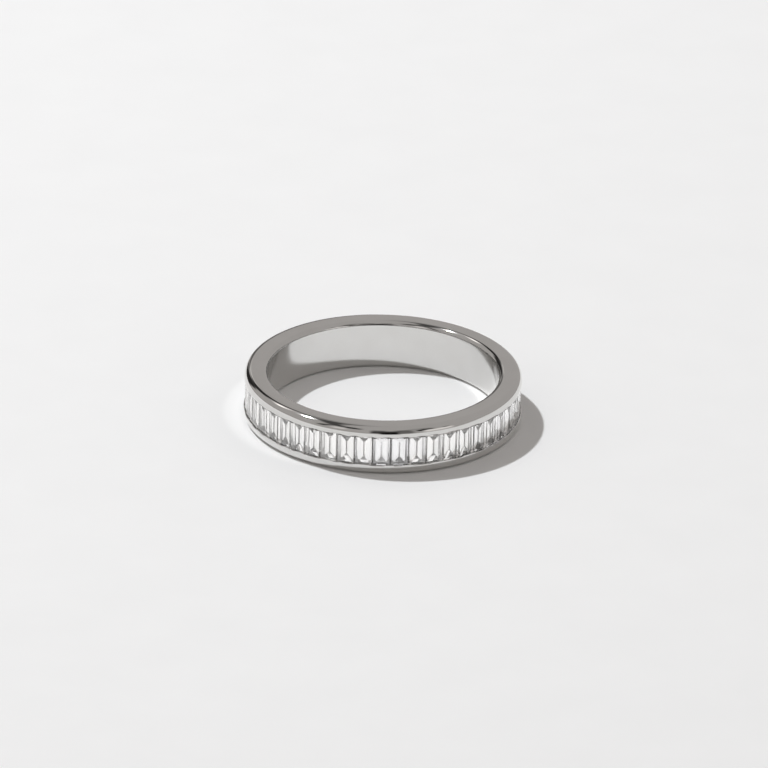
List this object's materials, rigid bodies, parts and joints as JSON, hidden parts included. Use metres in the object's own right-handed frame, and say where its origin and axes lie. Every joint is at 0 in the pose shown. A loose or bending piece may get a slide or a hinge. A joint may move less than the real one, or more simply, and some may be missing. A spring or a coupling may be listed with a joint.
{
  "type": "channel set wedding band",
  "caption": "Polished white gold ring with a full circle of baguette diamonds held in a channel between two rounded rails.",
  "frame": {"origin": "centre of the side that the band lies on, on the axis of the finger hole", "axes": "+Z along the finger hole, up from the surface that the band lies on; the picture looks along +Y"},
  "size_m": [0.0203, 0.0202, 0.0037],
  "materials": {
    "white_gold": "polished 14 karat white gold",
    "diamond": "polished step cut diamond"
  },
  "bodies": {
    "root": {"band": "white_gold", "stones_front": "diamond", "stones_back": "diamond"}
  },
  "joints": []
}
